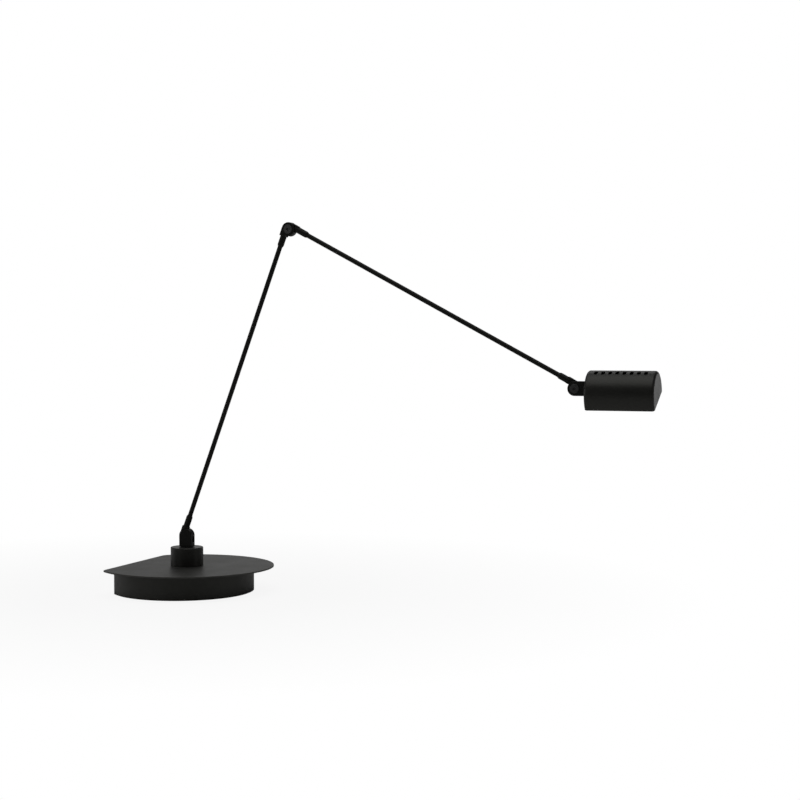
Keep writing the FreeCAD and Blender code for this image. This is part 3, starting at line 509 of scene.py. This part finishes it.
def make_capsule(length, place):
    """Hollow glass with a pinched foot; it takes the place of the plain bulb."""
    glass = bmesh.new()
    skin(glass, *capsule_rings(length, BULB_RADIUS, True))
    outside = len(glass.faces)
    skin(glass, *capsule_rings(length - BULB_WALL / 2, BULB_RADIUS - BULB_WALL, False))
    bmesh.ops.recalc_face_normals(glass, faces=glass.faces[:])
    bmesh.ops.reverse_faces(glass, faces=glass.faces[:][outside:])
    finish = clear_glass("capsule_glass", CAPSULE_TINT, CAPSULE_HAZE)
    capsule = placed(smooth_mesh(glass, "bulb_glass"), "bulb_glass", finish, place)
    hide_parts("bulb")


def make_filament(length, metal, place):
    """The coil and the two wires that lead to its ends."""
    begin = (length - COIL_LENGTH) * COIL_SEAT
    end = begin + COIL_LENGTH
    coil = []
    for step in range(COIL_TURNS * COIL_STEPS + 1):
        share = step / (COIL_TURNS * COIL_STEPS)
        turn = 2 * math.pi * COIL_TURNS * share
        coil.append((begin + COIL_LENGTH * share, COIL_RADIUS * math.cos(turn),
                     COIL_RADIUS * math.sin(turn)))
    placed(wire(coil, WIRE_RADIUS), "bulb_coil", metal, place)
    near = [(PINCH_LENGTH * LEAD_START, -LEAD_SPREAD, 0)]
    near += [(begin * along, -LEAD_SPREAD * aside, 0) for along, aside in NEAR_BEND]
    near += [(begin, -COIL_RADIUS, 0), (begin, COIL_RADIUS, 0)]
    far = [(PINCH_LENGTH * LEAD_START, LEAD_SPREAD, 0)]
    far += [(end - before, LEAD_SPREAD * aside, 0) for before, aside in FAR_BEND]
    far += [(end, COIL_RADIUS, 0)]
    for name, points in (("bulb_lead_near", near), ("bulb_lead_far", far)):
        placed(wire(points, LEAD_RADIUS), name, metal, place)


def make_contacts(metal, place):
    """The seal foils in the foot and the pins below it, as closed bars along the axis."""
    foil = [(PINCH_LENGTH * share, FOIL_HALF * wide, FOIL_THICK) for share, wide in FOIL_OUTLINE]
    pin = [(-PIN_LENGTH, PIN_RADIUS / 2, PIN_RADIUS / 2),
           (PIN_TIP - PIN_LENGTH, PIN_RADIUS, PIN_RADIUS), (PIN_ROOT, PIN_RADIUS, PIN_RADIUS)]
    bars = (("bulb_foil_near", -LEAD_SPREAD, foil), ("bulb_foil_far", LEAD_SPREAD, foil),
            ("bulb_pin_near", -PIN_SPACING / 2, pin), ("bulb_pin_far", PIN_SPACING / 2, pin))
    for name, side, outline in bars:
        bar = bmesh.new()
        aside = Vector((0, side, 0))
        rings = [[point + aside for point in section(x, wide, high, 0.0)]
                 for x, wide, high in outline]
        skin(bar, rings, outline[-1][0], side)
        bmesh.ops.recalc_face_normals(bar, faces=bar.faces[:])
        placed(smooth_mesh(bar, name), name, metal, place)


def make_bulb():
    """The capsule bulb, lying along the head and rolled with it."""
    low, high = (Vector(corner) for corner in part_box("bulb"))
    length = high.x - low.x - PIN_LENGTH
    middle = (low + high) / 2
    place = Matrix.Translation((low.x + PIN_LENGTH, middle.y, middle.z)) @ Matrix.Rotation(
        math.radians(HEAD_ROLL), 4, "X")
    make_capsule(length, place)
    metal = tungsten()
    make_filament(length, metal, place)
    make_contacts(metal, place)


# ---- studio ----
def node_maths(tree, operation, first, second):
    """The two outputs combined by a Math node."""
    node = tree.nodes.new("ShaderNodeMath")
    node.operation = operation
    tree.links.new(first, node.inputs[0])
    tree.links.new(second, node.inputs[1])
    return node.outputs["Value"]


def behind(tree, place, start, whole):
    """0 on the near side of start and 1 beyond whole, along the backdrop's direction."""
    turn = math.radians(CAMERA_AZIMUTH)
    along = tree.nodes.new("ShaderNodeVectorMath")
    along.operation = "DOT_PRODUCT"
    along.inputs[1].default_value = (-math.sin(turn), math.cos(turn), 0)
    tree.links.new(place, along.inputs[0])
    ramp = tree.nodes.new("ShaderNodeMapRange")
    ramp.interpolation_type = "SMOOTHSTEP"
    ramp.inputs["From Min"].default_value = start
    ramp.inputs["From Max"].default_value = whole
    tree.links.new(along.outputs["Value"], ramp.inputs["Value"])
    return ramp.outputs["Result"]


def white_for_the_lens(tree, backdrop):
    """1 for rays of the lens, and the backdrop's share for those of a gloss or a glass."""
    path = tree.nodes.new("ShaderNodeLightPath")
    shine = node_maths(tree, "MAXIMUM", path.outputs["Is Glossy Ray"],
                       path.outputs["Is Transmission Ray"])
    shine = node_maths(tree, "MULTIPLY", shine, backdrop)
    return node_maths(tree, "MAXIMUM", shine, path.outputs["Is Camera Ray"])


def make_floor():
    """A pale floor that keeps the lamp's shadow and turns pure white away from it."""
    bpy.ops.mesh.primitive_plane_add(size=FLOOR_SIZE, location=(0, 0, -FLOOR_BELOW))
    floor = bpy.context.object
    floor.name = "floor"
    f = Finish("pale_floor")
    f.colour((*FLOOR_COLOUR, 1))
    f.roughness(FLOOR_ROUGHNESS)
    f.set(Specular_IOR_Level=0.0)
    distance = f.add("ShaderNodeVectorMath", operation="LENGTH")
    f.join(f.place, distance.inputs[0])
    away = f.spread(distance.outputs["Value"], FLOOR_NEAR, FLOOR_FAR, FLOOR_WHITE_NEAR, 1.0)
    sweep = behind(f.tree, f.place, FLOOR_DIM_BEFORE, FLOOR_LIT_BEHIND)
    share = f.maths("MULTIPLY", away, white_for_the_lens(f.tree, sweep))
    white = f.add("ShaderNodeEmission")
    mix = f.add("ShaderNodeMixShader")
    f.join(share, mix.inputs["Fac"])
    f.join(f.shader.outputs["BSDF"], mix.inputs[1])
    f.join(white.outputs["Emission"], mix.inputs[2])
    f.join(mix.outputs["Shader"], f.output.inputs["Surface"])
    floor.data.materials.append(f.material)


def make_world():
    """White behind the lamp, dim on the camera's side."""
    world = bpy.data.worlds.new("studio")
    bpy.context.scene.world = world
    world.use_nodes = True
    tree = world.node_tree
    tree.nodes.clear()
    output = tree.nodes.new("ShaderNodeOutputWorld")
    room = tree.nodes.new("ShaderNodeBackground")
    room.inputs["Color"].default_value = (STUDIO_FILL,) * 3 + (1,)
    white = tree.nodes.new("ShaderNodeBackground")
    white.inputs["Color"].default_value = (1, 1, 1, 1)
    mix = tree.nodes.new("ShaderNodeMixShader")
    way = tree.nodes.new("ShaderNodeTexCoord").outputs["Generated"]
    backdrop = behind(tree, way, *BACKDROP_SIDE)
    tree.links.new(white_for_the_lens(tree, backdrop), mix.inputs["Fac"])
    tree.links.new(room.outputs["Background"], mix.inputs[1])
    tree.links.new(white.outputs["Background"], mix.inputs[2])
    tree.links.new(mix.outputs["Shader"], output.inputs["Surface"])


def soft_box(name, place, aim, width, height, level):
    """A rectangular lamp whose face shines at the given level, where 1 is white."""
    lamp = bpy.data.lights.new(name, "AREA")
    lamp.shape = "RECTANGLE"
    lamp.size = width
    lamp.size_y = height
    lamp.energy = level * math.pi * width * height
    holder = bpy.data.objects.new(name, lamp)
    holder.location = place
    way = Vector(aim) - Vector(place)
    holder.rotation_mode = "QUATERNION"
    holder.rotation_quaternion = way.to_track_quat("-Z", "Y")
    bpy.context.scene.collection.objects.link(holder)


def make_lamps():
    for lamp in LAMPS:
        soft_box(*lamp)


def make_camera():
    """The photograph's camera, placed so that the origin shows at its pixel."""
    turn = math.radians(CAMERA_AZIMUTH)
    lift = math.radians(CAMERA_ELEVATION)
    right = Vector((math.cos(turn), math.sin(turn), 0))
    ahead = Vector((-math.sin(turn) * math.cos(lift), math.cos(turn) * math.cos(lift),
                    -math.sin(lift)))
    up = right.cross(ahead)
    sideways = (PICTURE / 2 - ORIGIN_PIXEL[0]) * SCALE_AT_ORIGIN
    upwards = (ORIGIN_PIXEL[1] - PICTURE / 2) * SCALE_AT_ORIGIN
    data = bpy.data.cameras.new("camera")
    data.sensor_width = SENSOR
    data.lens = LENS
    camera = bpy.data.objects.new("camera", data)
    bpy.context.scene.collection.objects.link(camera)
    camera.location = right * sideways + up * upwards - ahead * ORIGIN_DISTANCE
    camera.rotation_mode = "QUATERNION"
    axes = Matrix((right, up, -ahead)).transposed()
    camera.rotation_quaternion = axes.to_quaternion()
    bpy.context.scene.camera = camera


finish_parts()
make_bulb()
make_floor()
make_world()
make_lamps()
make_camera()
bpy.context.scene.view_settings.view_transform = "Standard"
